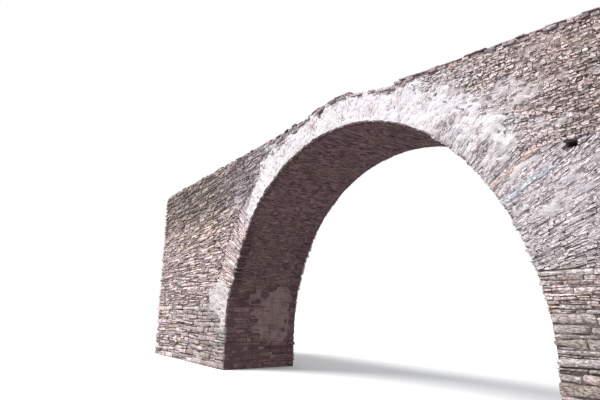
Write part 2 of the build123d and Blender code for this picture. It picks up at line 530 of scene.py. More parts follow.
# Each kind of masonry: its stones' shape, how many are split in two layers, how crooked, proud,
# worn and wavy they are, their joints against the usual one, and their colours.
KINDS = {
    "block": {
        "shape": "slab", "length": "block_length", "split": 0.15, "slant": 0.014, "rough": 0.009,
        "proud": (0.012, 0.065), "chamfer": 0.024, "wave": 0.011, "joint": 1.0,
        "tints": BLOCKS, "wash": 0.0, "spread": 0.15, "lift": 1.0},
    "thin": {
        "shape": "slab", "length": "thin_length", "split": 0.4, "slant": 0.014, "rough": 0.006,
        "proud": (0.006, 0.045), "chamfer": 0.01, "wave": 0.006, "joint": 0.5,
        "tints": SLABS, "wash": 0.15, "spread": 0.2, "lift": (1.15, 1.1, 1.1)},
    "springing": {
        "shape": "slab", "length": "block_length", "split": 0.0, "slant": 0.014, "rough": 0.003,
        "proud": (0.022, 0.034), "chamfer": 0.012, "wave": 0.004, "joint": 0.4,
        "tints": {"pale": 1}, "wash": 0.35, "spread": 0.2, "lift": 1.0},
    "rubble": {
        "shape": "chip", "length": "rubble_length", "split": 0.1, "slant": 0.02, "rough": 0.011,
        "proud": (0.002, 0.05), "chamfer": 0.01, "wave": 0.0, "joint": 0.7,
        "tints": RUBBLE, "wash": 0.1, "spread": 0.2, "lift": (1.2, 1.14, 1.12)},
    "gallet": {
        "shape": "chip", "length": "rubble_length", "split": 0.0, "slant": 0.014, "rough": 0.004,
        "proud": (0.01, 0.03), "chamfer": 0.006, "wave": 0.0, "joint": 0.1,
        "tints": RUBBLE, "wash": 0.2, "spread": 0.2, "lift": (1.2, 1.14, 1.12)},
    "wall": {
        "shape": "chip", "length": "wall_length", "split": 0.35, "slant": 0.02, "rough": 0.009,
        "proud": (0.002, 0.085), "chamfer": 0.01, "wave": 0.006, "joint": 1.7,
        "tints": WALLS, "wash": 0.05, "spread": 0.26, "lift": 1.0},
}

BED_WAVES = {"left": 0.15, "right": 0.1}
LEFT_BED_SLOPE = 0.105          # how steeply the left beds rise to the arch
LEFT_BEDS_FROM = 7.5            # distance from the middle at which they are at their level
BEDS_END = 8.2                  # a height over the road line
SOCKET_HALF = (0.08, 0.05)      # half a scaffold socket's width and height
SOCKET_ROOM = 0.02              # how near to a socket a stone is cut back
BLOCKS_END = (6.7, 8.3)         # distance from the middle at which blocks give way to rubble
FOOT_REACH = 6.6                # distance up to which the walls' stones are shorter
EDGE_REACH = {"left": 0.055, "right": 0.034}    # how far a foot's stones reach into the arch
LONG_STONE = 0.34               # length from which a stone is a slab
SMALL_STONE = (0.03, 0.013)     # length and height under which it is left out
TWO_LAYERS = 0.06               # height from which it may be split in two
DEEP_LIME = 0.25                # depth of lime that hides some of the stones
MOST_JOINT = 0.3                # share of a stone that its joint takes at most


def course_wave(rng, height):
    """Gentle rise and fall of one bed along the wall, as a function of the place."""
    phase = rng.uniform(0, 6.28, 3)
    size = height * np.array([0.16, 0.1, 0.06])
    pace = np.array([1.3, 3.1, 7.7]) * rng.uniform(0.8, 1.25, 3)
    return lambda q: float(np.sum(size * np.sin(pace * q + phase)))


def socket_box(side):
    """Place of the scaffold socket on one side: its ends along the wall and its heights."""
    size = arch()
    number = 0 if side == "left" else 1
    q = size.radius + size.putlog_reach[number]
    z = size.centre_height + size.putlog_rise[number]
    return q - SOCKET_HALF[0], q + SOCKET_HALF[0], z - SOCKET_HALF[1], z + SOCKET_HALF[1]


def course_rise(side, q, z):
    """How far a bed stands from its level: on the left they rise to the arch above its bed."""
    if side == "right":
        return 0.0
    return LEFT_BED_SLOPE * (LEFT_BEDS_FROM - q) * float(smooth(z, ARCH_BED, ARCH_BED + 2.6))


def slab_field(side, z):
    """Where the sloping slabs end on one side at a height."""
    size = arch()
    if side == "left" or not ARCH_BED < z < stones().slabs_to:
        return 0.0
    return math.sqrt(stones().slab_reach**2 - (z - size.centre_height) ** 2)


def wall_kind(q, z, switch, fine):
    """Kind of masonry at a place on a face."""
    if z < ABUTMENT_TOP and q < switch:
        return "block" if z < stones().thin_from else "thin"
    if ABUTMENT_TOP < z < ARCH_BED and q < ABUTMENT_END:
        return "springing"
    return "rubble" if z > ARCH_BED and fine else "wall"


def stack(rng, beds, top, heights):
    """Add beds above the last one up to an exact height."""
    start, new = beds[-1], []
    while not new or new[-1] < top:
        new.append((new[-1] if new else start) + rng.uniform(*heights))
    scale = (top - start) / (new[-1] - start)
    beds += [start + (bed - start) * scale for bed in new[:-1]] + [top]


def low_courses(side):
    """Beds of one side's abutment from the ground to the arch's bed, with the built ones exact."""
    size = stones()
    rng = np.random.default_rng(SEEDS["low_courses"] + SIDES[side])
    beds = [0.0]
    stack(rng, beds, size.thin_from, size.block_course)
    stack(rng, beds, ABUTMENT_TOP, size.thin_course)
    return beds + [ARCH_BED]


def high_courses(side, heights):
    """Beds of one side's faces from the arch's bed to above the crown."""
    rng = np.random.default_rng(SEEDS["high_courses"] + SIDES[side])
    beds = [ARCH_BED]
    stack(rng, beds, stones().slabs_to, heights)
    stack(rng, beds, BEDS_END, heights)
    return beds


def layered(cell, parts, rng):
    """Cut one stone's place into a few layers by beds that aren't quite level."""
    if parts == 1:
        return [cell]
    lean = rng.normal(0, 0.07)
    inner = [(number + 1) / parts + rng.uniform(-0.12, 0.12) for number in range(parts - 1)]
    cuts, made = [0, *inner, 1], []
    for below, above in zip(cuts[:-1], cuts[1:]):
        b = (below - lean if below else 0, below + lean if below else 0)
        a = (above - lean if above < 1 else 1, above + lean if above < 1 else 1)
        made.append(np.array([
            cell[0] * (1 - b[0]) + cell[3] * b[0], cell[1] * (1 - b[1]) + cell[2] * b[1],
            cell[1] * (1 - a[1]) + cell[2] * a[1], cell[0] * (1 - a[0]) + cell[3] * a[0],
        ]))
    return made


def lay_face(pile, face, side):
    """Lay one side's courses on one face, from the arch or its ring out to the end."""
    size = stones()
    lay_courses(pile, face, side, low_courses(side), 0.0, END_REACH, False)
    start = 0.0
    if (face, side) == ("near", "right"):
        fine = high_courses(side, size.rubble_course)
        lay_courses(pile, face, side, fine, 0.0, size.rubble_reach, True)
        start = size.rubble_reach - 0.2
    lay_courses(pile, face, side, high_courses(side, size.wall_course), start, END_REACH, False)


def lay_courses(pile, face, side, beds, first, last, fine):
    """Lay the stones between pairs of beds, from one distance from the middle to another."""
    rng = pile.rng
    waves = [course_wave(rng, BED_WAVES[side]) for _ in beds]
    exact = (0.0, ABUTMENT_TOP, ARCH_BED)
    for number, (low, high) in enumerate(zip(beds[:-1], beds[1:])):
        middle = (low + high) / 2
        switch = rng.uniform(*BLOCKS_END)
        at_arch = middle < ARCH_BED
        if at_arch:
            q = intrados(middle) - rng.uniform(0.0, EDGE_REACH[side])
        else:
            near_ring = ring_edge(middle + course_rise(side, ring_edge(middle), middle))
            q = max(slab_field(side, middle), near_ring - 0.4, first)
        start, slant = q, np.zeros(2)
        ending = last if last == END_REACH else last + rng.uniform(-0.3, 0.1)
        while q < ending:
            kind = wall_kind(q, middle, switch, fine)
            look = KINDS[kind]
            length = pile.between(getattr(stones(), look["length"]))
            if kind == "wall" and q < FOOT_REACH:
                length *= 0.8
            end = q + length * (0.75 + 3 * min(high - low, 0.16))
            new_slant = rng.normal(0, look["slant"], 2)
            if end > END_REACH - 0.1:
                end, new_slant = END_REACH + rng.uniform(0.0, 0.025), np.zeros(2)
            base, tops = (
                [bed + (0 if bed in exact else wave(place) + course_rise(side, place, bed))
                 for place in (q, end)]
                for bed, wave in ((low, waves[number]), (high, waves[number + 1])))
            cell = np.array([
                [q + slant[0], base[0]], [end + new_slant[0], base[1]],
                [end + new_slant[1], tops[1]], [q + slant[1], tops[0]],
            ])
            shares = (1 - look["split"], look["split"])
            parts = rng.choice(2, p=shares) + 1 if tops[0] - base[0] > TWO_LAYERS else 1
            for part in layered(cell, parts, rng):
                lay_cell(pile, part, kind, face, side, at_arch and q == start)
            if kind == "block" and rng.random() < 0.6:
                lay_spall(pile, q, end, base[0], face, side)
            q, slant = end, new_slant


def lay_spall(pile, start, end, bed, face, side):
    """Lay one thin chip of stone in a bed joint."""
    if bed < 0.05:
        return
    rng = pile.rng
    q = rng.uniform(start, end)
    reach, thick = rng.uniform(0.12, 0.3), rng.uniform(0.018, 0.034)
    offsets = [[0, -thick], [reach, -thick / 2], [reach, thick / 2], [0, thick]]
    lay_cell(pile, np.array([q, bed]) + offsets, "thin", face, side, False)


def left_tone(x, z):
    """Tone of the left wall's stones: darker under the road, browner beyond the upright seam."""
    level = 0.7 + 0.8 * float(smooth(z, 6.1, 4.4) - 0.25 * smooth(z, 3.4, 1.5))
    beyond = float(smooth(x, -6.4, -6.7) * smooth(z, 3.8, 5.0))
    return level * (np.array([1.01, 0.975, 1.01]) - beyond * np.array([0.0, 0.015, 0.085]))


def lay_gallets(pile, face, side, number):
    """Press small chips of stone into the joints of the rubble over the arch."""
    rng, size = pile.rng, arch()
    for _ in range(number):
        q, z = rng.uniform(0.5, 8.0), rng.uniform(stones().slabs_to, size.crown_height)
        reach, thick = rng.uniform(0.02, 0.05), rng.uniform(0.01, 0.022)
        turn = rng.normal(0, 0.5)
        spin = np.array([[math.cos(turn), math.sin(turn)], [-math.sin(turn), math.cos(turn)]])
        cell = np.array([q, z]) + rectangle(-reach, -thick, reach, thick) @ spin
        lay_cell(pile, cell, "gallet", face, side, False)


def fit_cell(cell, side):
    """Move a stone's corners off the ring, the coping and the socket; false where none is left."""
    size = arch()
    if cell[:, 1].mean() > ARCH_BED:
        cell[:, 1] = np.maximum(cell[:, 1], ARCH_BED)
        cell[:, 0] = np.maximum(cell[:, 0], slab_field(side, cell[:, 1].mean()) - 0.05)
        for corner in cell:
            away = math.hypot(corner[0], corner[1] - size.ring_centre)
            if away < size.ring_radius - 0.3:
                return False
            grow = max(size.ring_radius / away, 1.0)
            corner[0] *= grow
            corner[1] = size.ring_centre + (corner[1] - size.ring_centre) * grow
    cell[:, 1] = np.minimum(cell[:, 1], road(SIDES[side] * cell[:, 0]) - size.coping)
    q, z = cell.mean(0)
    left, right, low, high = socket_box(side)
    beside = left - SOCKET_ROOM < cell[:, 0].max() and cell[:, 0].min() < right + SOCKET_ROOM
    if beside and low - SOCKET_ROOM < z < high + SOCKET_ROOM:
        if q < (left + right) / 2:
            cell[:, 0] = np.minimum(cell[:, 0], left)
        else:
            cell[:, 0] = np.maximum(cell[:, 0], right)
    return True


def lay_cell(pile, cell, kind, face, side, at_arch):
    """Trim one stone's outline to its neighbours and lay it on a face."""
    rng, along, look = pile.rng, SIDES[side], KINDS[kind]
    if not fit_cell(cell, side):
        return
    centre = cell.mean(0)
    wide = (cell[1, 0] - cell[0, 0] + cell[2, 0] - cell[3, 0]) / 2
    tall = (cell[3, 1] - cell[0, 1] + cell[2, 1] - cell[1, 1]) / 2
    if wide < SMALL_STONE[0] or tall < SMALL_STONE[1]:
        return
    shape = "block" if face == "far" and look["shape"] == "slab" else look["shape"]
    if face == "near" and kind == "wall" and wide > LONG_STONE:
        shape = "slab"
    elif shape == "chip" and (rng.random() < 0.45 or wide * tall < 0.0025):
        shape = "splinter"
    if shape != "slab":
        trims = rng.uniform(0, 0.3, 2) * (rng.random(2) < 0.35) * tall
        cell[:2, 1] += trims[0]
        cell[2:, 1] -= trims[1]
    joint = pile.between(stones().joint) * look["joint"]
    gaps = np.array([min(joint / wide, MOST_JOINT), min(joint / tall, MOST_JOINT)])
    cell = centre + (cell - centre) * (1 - gaps)
    cell = cell + rng.normal(0, min(look["rough"], tall * 0.14), cell.shape)
    cell[:, 1] = np.maximum(cell[:, 1], 0.0)
    x, z = along * centre[0], centre[1]
    margin = float(lime_margin(x, z)) if z > ARCH_BED else -9.0
    if margin > DEEP_LIME and rng.random() < 0.5:
        return
    proud = pile.between(look["proud"]) * (1 - 0.6 * (margin > 0 and rng.random() < 0.8))
    pale = look["wash"] + 0.5 * float(smooth(margin, -1.9, -0.2))
    tint = mixed_tint(rng, look["tints"], pale, look["spread"])
    if side == "left" and kind == "wall":
        tint *= left_tone(x, z)
    tint *= look["lift"]
    if side == "left":
        proud *= 1 - 0.7 * float(foot_patch(x, z))
    sunk = 0.05
    if at_arch:
        sunk = rng.uniform(0.22, 0.42)
    elif cell[:, 0].max() > END_REACH - 0.03:
        sunk = rng.uniform(0.15, 0.3)
    corners = [(along * q, FACE_PLACES[face], height) for q, height in cell]
    seat = (proud, sunk, tint, shape, look["chamfer"], look["wave"])
    pile.lay(corners, (0, FACES[face], 0), *seat)


def row_angles(side, thickness):
    """Angles of the beds of ring or vault on one side, from the level bed up to the crown."""
    size = arch()
    rng = np.random.default_rng(SEEDS["rows"] + SIDES[side])
    first = math.asin((ARCH_BED - size.centre_height) / size.radius)
    angles = [first]
    while angles[-1] < math.pi / 2:
        angles.append(angles[-1] + rng.uniform(*thickness) / size.radius)
    scale = (math.pi / 2 - first) / (angles[-1] - first)
    return [first + (angle - first) * scale for angle in angles]


def on_arch(side, y, radius, angle):
    """Point at a radius and an angle from the arch's centre, at a place across the bridge."""
    height = arch().centre_height + radius * math.sin(angle)
    return SIDES[side] * radius * math.cos(angle), y, height


def clear_span(side, span, turn):
    """Longest part of a radial slab that keeps clear of the scaffold socket."""
    left, right, low, high = socket_box(side)
    reach = np.linspace(*span, 15)
    angle = (turn[0] + turn[1]) / 2
    q, z = reach * math.cos(angle), arch().centre_height + reach * math.sin(angle)
    room = 0.008 + (turn[1] - turn[0]) * reach / 2
    blocked = (q > left - 0.005) & (q < right + 0.005) & (z > low - room) & (z < high + room)
    if not blocked.any():
        return span
    first, last = np.flatnonzero(blocked)[[0, -1]]
    before, after = (span[0], reach[max(first - 1, 0)]), (reach[min(last + 1, 14)], span[1])
    longest = before if before[1] - before[0] > after[1] - after[0] else after
    return longest if longest[1] - longest[0] > 0.03 else None


SLAB_JOINTS = {"left": 0.8, "right": 0.28}      # slabs' joints against the usual one
SLAB_PROUD = {"left": 0.055, "right": 0.032}    # how far slabs stand out at most


def lay_slab(pile, face, side, span, turn, first, tint=None, proud=None):
    """Lay one radial slab between two radii and two angles."""
    rng, y = pile.rng, FACE_PLACES[face]
    span = clear_span(side, span, turn)
    if span is None:
        return
    x, _, z = on_arch(side, y, sum(span) / 2, sum(turn) / 2)
    margin = float(lime_margin(x, z))
    if margin > DEEP_LIME and not first and rng.random() < 0.4:
        return
    thick, length = (turn[1] - turn[0]) * span[0], span[1] - span[0]
    joint = pile.between(stones().joint) * SLAB_JOINTS[side]
    if (face, side) == ("near", "left") and first:
        joint *= 1 + 1.6 * float(smooth(z, 5.2, 4.2))
    trim = (turn[1] - turn[0]) / 2 * min(joint / thick, 0.38)
    bend = rng.normal(0, min(0.0014, thick * 0.035), 4)
    gap = min(pile.between(stones().joint) * 0.5, length * 0.2)
    low, high, inner, outer = turn[0] + trim, turn[1] - trim, span[0], span[1] - gap
    places = (
        (inner, low + bend[0]), (outer, low + bend[1]),
        (outer + rng.normal(0, 0.012), high + bend[2]),
        (inner + rng.normal(0, 0.008), high + bend[3]),
    )
    corners = [on_arch(side, y, *place) for place in places]
    corners = [(q, y, max(height, ARCH_BED + 0.004)) for q, _, height in corners]
    if proud is None:
        proud = rng.uniform(0.008, SLAB_PROUD[side]) * (1 - 0.6 * (margin > 0))
    if tint is None and side == "right":
        wash = 0.6 + 0.25 * float(smooth(z, ARCH_BED, ARCH_BED + 1.1))
        tint = mixed_tint(rng, SLABS, wash, 0.18) * 1.03
    elif tint is None:
        wash = 0.05 + 0.4 * float(smooth(margin, -1.0, 0.1))
        tint = mixed_tint(rng, WALLS, wash, 0.22) * left_tone(x, z)
    sunk = rng.uniform(0.25, 0.42) if first else 0.06
    shape = "slab" if length > LONG_STONE else "chip" if rng.random() < 0.6 else "splinter"
    pile.lay(corners, (0, FACES[face], 0), proud, sunk, tint, shape, 0.008, 0.004)


FAN_BED = 0.045                 # height of the sloping slabs' rows under the ring
RING_OVERHANG = 0.034           # how far the slabs' teeth reach into the arch
LEFT_OVERHANG = {"near": 0.13, "far": 0.04}     # and how much further on the broken left side


def lay_ring(pile, face, side):
    """Lay the radial slabs of one half ring, each row from the arch's edge outwards."""
    rng, size = pile.rng, arch()
    thickness = stones().left_thickness if side == "left" else stones().ring_thickness
    angles = row_angles(side, thickness)
    step = FAN_BED / size.radius
    rise = ARCH_BED - size.centre_height
    fan = np.arange(math.asin(rise / stones().slab_reach), angles[0] - step / 2, step)
    stretch = 0.72 if (face, side) == ("near", "right") else 1.6
    for low, high in zip([*fan, *angles[:-1]], [*fan[1:], *angles]):
        middle = (low + high) / 2
        limit = ring_depth(middle)
        if side == "right":
            height = (stones().slabs_to - size.centre_height) / math.sin(middle)
            limit = max(limit, min(stones().slab_reach, height) + rng.uniform(-0.15, 0.1))
        x, _, z = on_arch(side, 0.0, size.radius, middle)
        overhang = RING_OVERHANG
        if side == "left":
            overhang += LEFT_OVERHANG[face] * float(smooth(z, 5.2, 4.0) * (1 - foot_patch(x, z)))
        tooth = size.radius - rng.uniform(0.0, overhang) * (lime_margin(x, z) < 0)
        r = start = max(tooth, rise / math.sin(middle))
        while r < limit - 0.05:
            long = 2.2 if rng.random() < 0.1 else 1.0
            end = r + pile.between(stones().ring_length) * long * stretch
            if end > limit - 0.08:
                end = limit + rng.uniform(-0.02, 0.07)
            cuts = [low, high]
            if face == "near" and rng.random() < 9 * ((high - low) * r - 0.03):
                cuts.insert(1, low + (high - low) * rng.uniform(0.35, 0.65))
            for below, above in zip(cuts[:-1], cuts[1:]):
                lay_slab(pile, face, side, (r, end), (below, above), r == start)
            r = end


def lay_marked_slabs(pile):
    """Lay the two coloured slabs that stand out beside the arch's right edge."""
    rng, radius, (length, thick) = pile.rng, arch().radius, stones().marked_slab
    half = thick / 2 / radius
    ends = radius + length * np.array([-0.01, 0.36, 0.7, 1.0])
    for name in ("rust_slab", "blue_slab"):
        angle = getattr(stones(), f"{name}_angle")
        tint = np.array(getattr(colours(), name))
        for start, end in zip(ends[:-1], ends[1:]):
            turn = angle + rng.normal(0, 0.0014) + half * np.array([-1, 1])
            proud = rng.uniform(0.03, 0.045)
            lay_slab(pile, "near", "right", (start, end), turn, start == ends[0], tint, proud)


# How far from a face a row across the bridge starts, takes no new stone, is closed and ends.
VAULT_ROW = {"starts": (0.05, 0.2), "full": 0.16, "close": 0.2, "ends": (0.05, 0.15)}
JAMB_ROW = {"starts": (0.2, 0.38), "full": 0.3, "close": 0.4, "ends": (0.2, 0.35)}
END_ROW = {"starts": (0.12, 0.28), "full": 0.2, "close": 0.28, "ends": (0.12, 0.2)}


def row_across(pile, lengths, starts, full, close, ends, bare=0.0):
    """Both ends of each stone in a row from the near face to the far one, ragged at both."""
    y = NEAR_FACE + pile.rng.uniform(*starts) + bare
    while y < FAR_FACE - full - bare:
        end = y + pile.between(lengths)
        if end > FAR_FACE - close - bare:
            end = FAR_FACE - pile.rng.uniform(*ends) - bare
        yield y, end
        y = end


def vault_tint(rng, level, spread, darkest, lightest):
    """Colour of one of the vault's stones."""
    return np.array(colours().vault) * np.clip(rng.normal(level, spread), darkest, lightest)


def lay_vault(pile, side):
    """Lay the vault's thin courses on one side, each row across the bridge."""
    rng, size, lengths = pile.rng, arch(), stones().vault_length
    angles = row_angles(side, stones().vault_thickness)
    for low, high in zip(angles[:-1], angles[1:]):
        middle = (low + high) / 2
        inwards = (-SIDES[side] * math.cos(middle), 0, -math.sin(middle))
        x, _, z = on_arch(side, 0.0, size.radius, middle)
        bare = 0.0 if lime_margin(x, z) > 0 else 0.18
        for y, end in row_across(pile, lengths, **VAULT_ROW, bare=bare):
            joint = pile.between(stones().joint) * 0.5
            half = (high - low) / 2 * (1 - min(joint / ((high - low) * size.radius), MOST_JOINT))
            bend = rng.normal(0, 0.0016, 4)
            places = (
                (y, middle - half + bend[0]), (end - joint, middle - half + bend[1]),
                (end - joint, middle + half + bend[2]), (y, middle + half + bend[3]),
            )
            corners = [on_arch(side, place, size.radius, angle) for place, angle in places]
            tint = vault_tint(rng, 1.05, 0.2, 0.5, 1.7)
            tint *= 0.84 + 0.2 * float(smooth(math.sin(middle), 0.3, 0.9))
            shape = "chip" if rng.random() < 0.4 else "splinter"
            pile.lay(corners, inwards, rng.uniform(0.002, 0.03), 0.05, tint, shape, 0.009)


def lay_jamb(pile, side):
    """Lay the courses of one abutment's inner side, between its corner stones."""
    rng, along, lengths = pile.rng, SIDES[side], stones().block_length
    beds = low_courses(side)
    for low, high in zip(beds[:-1], beds[1:]):
        tilt = (intrados(low) - intrados(high)) / (high - low)
        inwards = tuple(Vector((-along, 0, -tilt)).normalized())
        for y, end in row_across(pile, lengths, **JAMB_ROW):
            joint = pile.between(stones().joint) * 0.6
            cell = rectangle(y, low, end, high)
            centre = cell.mean(0)
            cell = centre + (cell - centre) * (1 - joint / (high - low))
            for part in layered(cell, 1 + rng.integers(3), rng):
                part = part + rng.normal(0, 0.008, part.shape)
                corners = [(along * intrados(height), place, height) for place, height in part]
                tint = vault_tint(rng, 1.1, 0.24, 0.6, 1.8)
                proud = rng.uniform(0.0, 0.03)
                pile.lay(corners, inwards, proud, 0.06, tint, "block", 0.018, 0.008)


def lay_end(pile, side):
    """Lay the cut end of the bridge: rough stones in earth between the corner stones."""
    rng, along, lengths = pile.rng, SIDES[side], stones().wall_length
    top = float(road(along * END_REACH)) - arch().coping
    z = 0.0
    while z < top - 0.04:
        high = min(z + pile.between(stones().wall_course), top)
        for y, end in row_across(pile, lengths, **END_ROW):
            joint = pile.between(stones().joint) * 1.3
            moved = rectangle(y, z, end - joint, high - joint) + rng.normal(0, 0.009, (4, 2))
            corners = [(along * END_REACH, place, max(height, 0)) for place, height in moved]
            inside = NEAR_FACE + WALL_DEPTH < (y + end) / 2 < FAR_FACE - WALL_DEPTH
            drawn = -0.02 if inside and rng.random() < 0.12 else rng.uniform(0.004, 0.045)
            tint = mixed_tint(rng, RUBBLE, 0.05, 0.2)
            pile.lay(corners, (along, 0, 0), drawn, 0.06, tint, "chip")
        z = high


COPING_TONE = np.array([0.98, 0.91, 0.95])
LAYER_STEP = 0.12               # how far each layer of coping starts from the one below it


def lay_coping(pile, face, start, end, depth, layers):
    """Lay one stretch of coping from its bed's depth under the road line up.

    Each layer has a thickness, a length and the share of it that is left.
    """
    rng, out = pile.rng, FACES[face]
    outer, inner = out * COPING_EDGE, out * (HALF_WIDTH - WALL_DEPTH)
    low = -depth
    for number, (thickness, lengths, left) in enumerate(layers):
        x = start + LAYER_STEP * number
        while x < end - 0.05:
            stop = min(x + rng.uniform(*lengths), end)
            if end - stop < 0.1:
                stop = end
            joint = pile.between(stones().joint) * 0.7
            lean = rng.normal(0, 0.008, 4)
            reach = outer + out * rng.uniform(-0.05, 0.02)
            back = inner - out * rng.uniform(-0.04, 0.04)
            flat = rectangle(x + joint / 2, reach, stop - joint / 2, back)
            heights = road([x, stop, stop, x]) + low + lean
            corners = np.column_stack([flat, heights])
            tint = mixed_tint(rng, COPINGS, 0.0, 0.24) * COPING_TONE
            high = thickness * rng.uniform(0.7, 1.05)
            if rng.random() < left:
                pile.lay(corners, (0, 0, 1), high, 0.01, tint, "block", 0.01)
            x = stop
        low += thickness


def lay_paving(pile):
    """Lay the road's stones in uneven rows across it."""
    rng, lengths = pile.rng, stones().paving_length
    x = -END_REACH
    while x < END_REACH - 0.05:
        stop = min(x + pile.between(lengths), END_REACH)
        y = -ROAD_EDGE
        while y < ROAD_EDGE - 0.03:
            side = min(y + pile.between(lengths) * 1.15, ROAD_EDGE)
            if ROAD_EDGE - side < 0.1:
                side = ROAD_EDGE
            joint = pile.between(stones().joint) * 1.2
            moved = rectangle(x, y, stop - joint, side - joint) + rng.normal(0, 0.012, (4, 2))
            moved[:, 0] = np.clip(moved[:, 0], -END_REACH, END_REACH)
            corners = np.column_stack([moved, road(moved[:, 0]) - arch().paving_drop])
            tint = mixed_tint(rng, RUBBLE, 0.1) * 0.85
            pile.lay(corners, (0, 0, 1), rng.uniform(0.004, 0.035), 0.05, tint, "block", 0.02)
            y = side
        x = stop


def coat_skin(x, z):
    """How far old lime and mortar stand out from a face at a place, and their colour there."""
    size, tone, to_slabs = arch(), colours(), stones().slabs_to
    turn = np.arctan2(z - size.centre_height, x) * size.radius
    radius = np.hypot(x, z - size.centre_height)
    margin, lime = lime_margin(x, z), lime_cover(x, z)
    on_slabs = smooth(radius, 7.6, 7.2) * smooth(z, to_slabs + 0.1, to_slabs - 0.3) * (x > 0)
    halo = smooth(margin, -1.7, -0.1) * smooth(soft_noise(x, z, (0.4, 0.3), 21), 0.15, 0.55)
    upper = smooth(z, to_slabs - 0.2, to_slabs + 0.2) * (x > 0)
    above_bed = smooth(z, ARCH_BED, ARCH_BED + 1.2)
    left_wall = smooth(x, -6.55, -6.35) * smooth(x, -3.5, -3.9)
    patches = soft_noise(x, z, (0.2, 0.15), 23) + 0.7 * swing(x, z, (1.1, 0.9), 24)
    rubble = smooth(z, to_slabs, to_slabs + 0.15) * np.where(x < 0, 0.6, 1)
    covers = {
        "lime": (0.064, lime),
        "washed": (0.056, halo * upper),
        "lime_fan": (0.052, on_slabs * (0.25 + 0.75 * above_bed) * (z > ARCH_BED)),
        "lime_wall": (0.048, left_wall * smooth(z + 0.45 * (x + 5.3), 5.0, 5.6)),
        "lime_grey": (0.068, foot_patch(x, z)),
        "mortar": (0.042, smooth(patches, 0.42, 0.66) * rubble),
    }
    heights = np.array([thick * share for thick, share in covers.values()])
    weights = (heights + 1e-4) ** 3
    tints = np.array([getattr(tone, name) for name in covers])
    tint = np.einsum("ij,ik->jk", weights / weights.sum(0), tints)
    streak = swing(turn, radius, (0.11, 0.45), 3)
    lumps, grains = swing(x, z, (0.32, 0.26), 4), swing(x, z, (0.075, 0.065), 6)
    pits = smooth(soft_noise(turn, radius, (0.05, 0.09), 8), 0.78, 0.94)
    height = heights.max(axis=0) - 0.034
    height = height + 0.028 * streak + 0.028 * lumps + 0.024 * grains - 0.03 * pits
    return height, np.concatenate([tint, lime[:, None]], 1)


def add_grid(name, columns, rows):
    """Add a flat unit grid for a sheet, and return it with its points' places on it."""
    bpy.ops.object.select_all(action="DESELECT")
    bpy.ops.mesh.primitive_grid_add(x_subdivisions=columns, y_subdivisions=rows, size=1)
    sheet = bpy.context.object
    sheet.name = sheet.data.name = name
    u, v, _ = read_points(sheet.data).T
    return sheet, u, v


def cut_points(sheet, gone):
    """Delete the points of a sheet that are marked as gone."""
    bpy.context.tool_settings.mesh_select_mode = (True, False, False)
    bpy.ops.object.mode_set(mode="EDIT")
    bpy.ops.mesh.select_all(action="DESELECT")
    bpy.ops.object.mode_set(mode="OBJECT")
    sheet.data.vertices.foreach_set("select", gone)
    bpy.ops.object.mode_set(mode="EDIT")
    bpy.ops.mesh.delete(type="VERT")
    bpy.ops.object.mode_set(mode="OBJECT")


def thicken(sheet, thickness):
    """Give a sheet its thickness behind its face."""
    solid = sheet.modifiers.new("thickness", "SOLIDIFY")
    solid.thickness = thickness
    solid.offset = -1
    bpy.ops.object.modifier_apply(modifier=solid.name)


COAT_LOW, COAT_HIGH = (-8.7, 1.3), (8.7, 7.8)    # corners of the coat's grid on a face
SKIN_DEPTH, BACK_DEPTH = 0.02, 0.04     # how deep its skin and its back lie in the wall
COAT_THICKNESS, RENDER_THICKNESS = 0.03, 0.04
SOCKET_MARGIN = 0.04                    # how far it keeps from the scaffold sockets


def make_coat(face, cell):
    """Model what is left of one face's lime as a rough skin that the stones poke through."""
    size, out = arch(), FACES[face]
    wide, tall = (high - low for low, high in zip(COAT_LOW, COAT_HIGH))
    coat, u, v = add_grid(f"{face}_lime", round(wide / cell), round(tall / cell))
    x, z = COAT_LOW[0] + (u + 0.5) * wide, COAT_LOW[1] + (v + 0.5) * tall
    if face == "far":
        x = -x
    radius = np.hypot(x, np.maximum(z - size.centre_height, 0))
    height, paint = coat_skin(x, z)
    gone = (height < -0.014) | (radius < size.radius - cell * 0.7)
    gone |= z > road(x) - size.coping + cell * 0.7
    for side, along in SIDES.items():
        left, right, bottom, top = socket_box(side)
        beside = abs(along * x - (left + right) / 2) < SOCKET_HALF[0] + SOCKET_MARGIN
        gone |= beside & (abs(z - (bottom + top) / 2) < SOCKET_HALF[1] + SOCKET_MARGIN)
    grow = np.maximum((size.radius + 0.004) / np.maximum(radius, 0.1), 1)
    above = z > size.centre_height
    z = np.where(above, size.centre_height + (z - size.centre_height) * grow, z)
    z = np.minimum(z, road(x) - size.coping)
    x = x * grow
    y = out * (HALF_WIDTH + np.maximum(height, -SKIN_DEPTH))
    # The coat's colour is darkened where it lies sunk in the wall: painted shade in recesses.
    paint[:, :3] *= painted_depth_shade(height, -0.014, 0.012)[:, None]
    # Near the arch's edge the coat takes the vault's dark colour and loses its lime, over a ragged
    # reach: painted shade on the edge and its underside.
    reach = 0.004 + 0.05 * soft_noise(x, z, (0.13, 0.13), 27)
    limed = smooth(radius - size.radius, reach - 0.012, reach + 0.018)[:, None]
    paint[:, :3] = paint[:, :3] * limed + np.array(colours().vault) * (1 - limed)
    paint[:, 3:] *= limed
    coat.data.vertices.foreach_set("co", np.stack([x, y, z], 1).ravel())
    paint_mesh(coat.data, paint)
    cut_points(coat, gone)
    front = len(coat.data.vertices)
    thicken(coat, COAT_THICKNESS)
    points = read_points(coat.data)
    points[front:, 1] = out * (HALF_WIDTH - BACK_DEPTH)
    points[front:, [0, 2]] = points[:front, [0, 2]]
    coat.data.vertices.foreach_set("co", points.ravel())
    coat.data.update()
    bpy.ops.object.shade_smooth_by_angle(angle=COAT_SMOOTH_ANGLE)
    return coat


